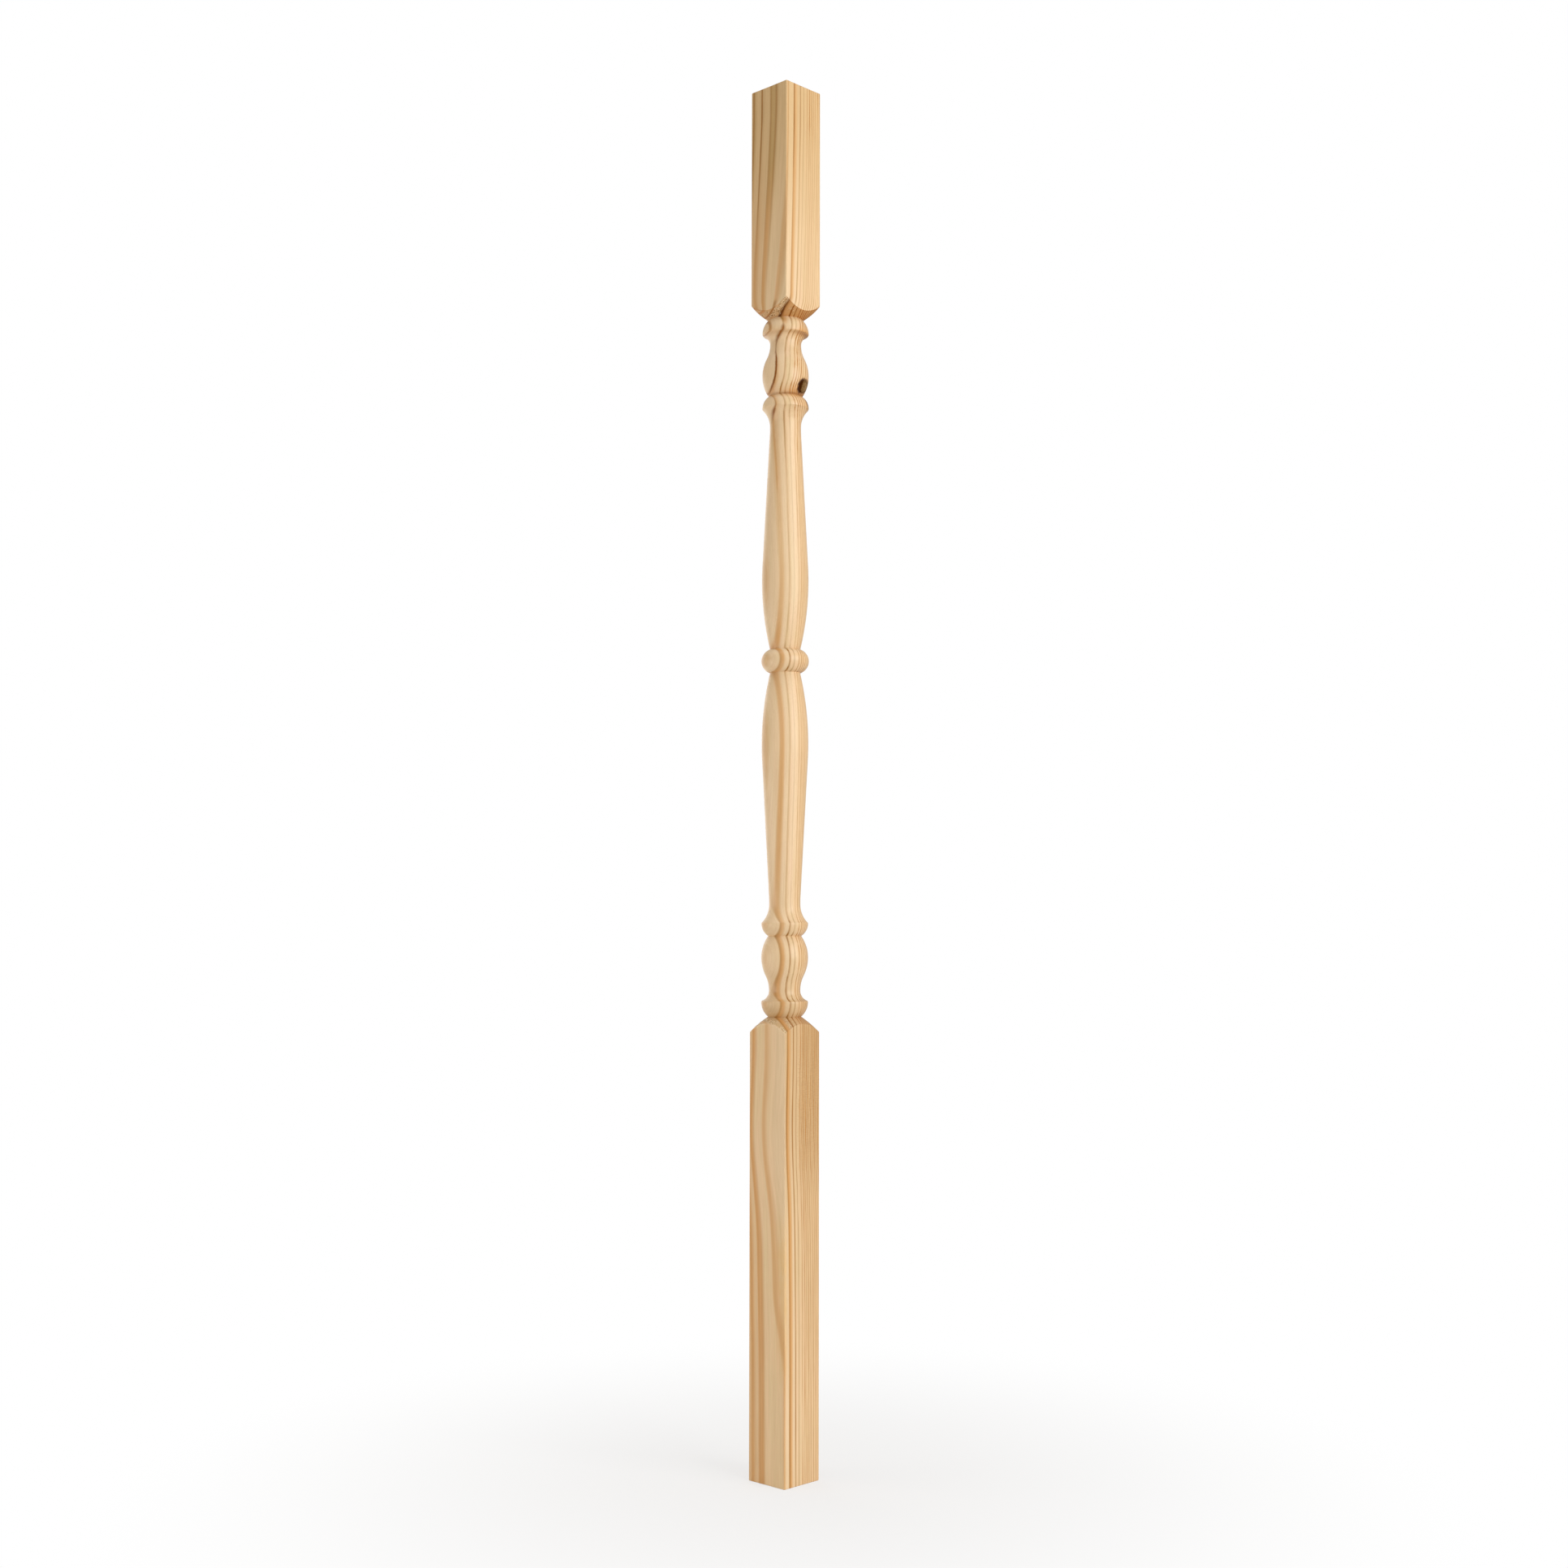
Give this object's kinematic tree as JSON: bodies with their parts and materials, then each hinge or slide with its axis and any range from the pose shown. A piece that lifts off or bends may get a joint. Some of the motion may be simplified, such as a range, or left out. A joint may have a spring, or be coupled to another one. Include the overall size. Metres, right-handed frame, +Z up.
{
  "type": "stair spindle",
  "caption": "Slim square timber baluster whose middle is turned into a ring, tapered shafts, beads and vases; it fills the space between a stair's base rail and its handrail.",
  "frame": {"origin": "centre of the square bottom end", "axes": "+Z up along the spindle, from the long lower block to the short upper block; +X and +Y square to the faces of the blocks"},
  "size_m": [0.032, 0.032, 0.9],
  "materials": {
    "pine": "bare planed and sanded pine, with open growth-ring figure, a small dark knot and torn end grain on the turned shoulders"
  },
  "bodies": {
    "root": {"spindle": "pine"}
  },
  "joints": []
}
